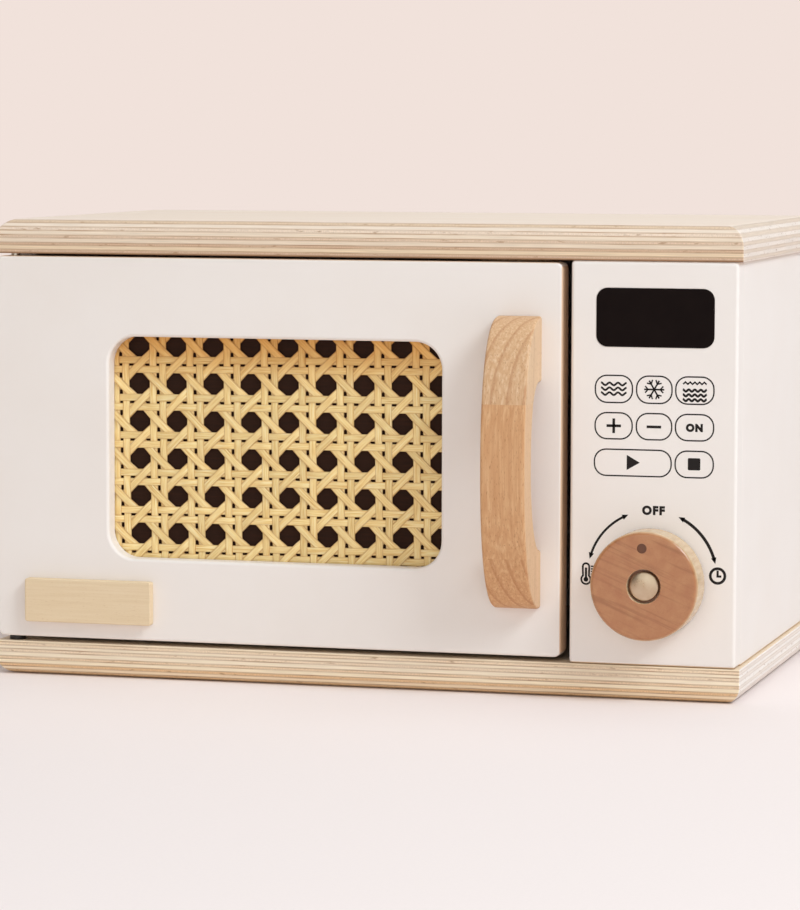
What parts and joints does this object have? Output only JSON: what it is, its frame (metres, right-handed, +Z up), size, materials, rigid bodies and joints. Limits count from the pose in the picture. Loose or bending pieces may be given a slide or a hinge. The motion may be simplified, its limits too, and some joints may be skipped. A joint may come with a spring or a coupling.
{
  "type": "toy microwave",
  "caption": "Wooden toy microwave with a plywood base and top, a hinged door with a cane window and bow handle, and a turning wooden knob.",
  "frame": {"origin": "middle of the flat underside of the base board", "axes": "+X to the right along the width, +Y to the back, away from the door, +Z up"},
  "size_m": [0.3324, 0.2296, 0.2006],
  "materials": {
    "birch_plywood": "sanded and clear matt lacquered birch plywood, plies showing on the edges",
    "white_paint": "wood sprayed with warm white satin paint",
    "black_gloss": "black acrylic, semi-gloss",
    "beech": "sanded and oiled beech",
    "beech_end_grain": "turned beech, dark end grain on the face",
    "pale_wood": "pale sanded hardwood, bare",
    "cane": "natural rattan cane webbing",
    "dark_board": "board stained dark brown, matt",
    "steel": "nickel plated steel",
    "felt": "pressed wool felt",
    "nylon": "black nylon"
  },
  "bodies": {
    "cabinet": {"base_board": "birch_plywood", "top_board": "birch_plywood", "left_side_panel": "white_paint", "right_side_panel": "white_paint", "inner_partition": "white_paint", "back_panel": "white_paint", "control_panel": "white_paint", "display_plate": "black_gloss", "catch_block": "beech", "top_dowel_1": "beech", "top_dowel_2": "beech", "top_dowel_3": "beech", "top_dowel_4": "beech", "top_dowel_5": "beech", "top_dowel_6": "beech", "catch_magnet": "steel", "lower_hinge_pin": "steel", "upper_hinge_pin": "steel", "base_screw_1": "steel", "base_screw_2": "steel", "base_screw_3": "steel", "base_screw_4": "steel", "base_screw_5": "steel", "base_screw_6": "steel", "back_screw_1": "steel", "back_screw_2": "steel", "back_screw_3": "steel", "back_screw_4": "steel", "back_screw_5": "steel", "back_screw_6": "steel", "hinge_washer": "nylon"},
    "door": {"door_frame": "white_paint", "cane_webbing": "cane", "cane_backing_board": "dark_board", "handle": "beech", "name_plate": "pale_wood", "strike_plate": "steel", "backing_screw_1": "steel", "backing_screw_2": "steel", "backing_screw_3": "steel", "backing_screw_4": "steel", "handle_screw_1": "steel", "handle_screw_2": "steel"},
    "knob_set": {"knob": "beech_end_grain", "knob_bolt": "steel", "knob_spacer": "felt", "back_washer": "steel", "lock_nut": "steel"}
  },
  "joints": [
    {"name": "door_hinge", "type": "hinge", "parent": "cabinet", "child": "door", "pos_m": [-0.1585, -0.094, 0], "axis": [0, 0, -1], "range_deg": [0, 105]},
    {"name": "knob_turn", "type": "hinge", "parent": "cabinet", "child": "knob_set", "pos_m": [0.1281, -0.1, 0.0506], "axis": [0, -1, 0], "continuous": true}
  ]
}
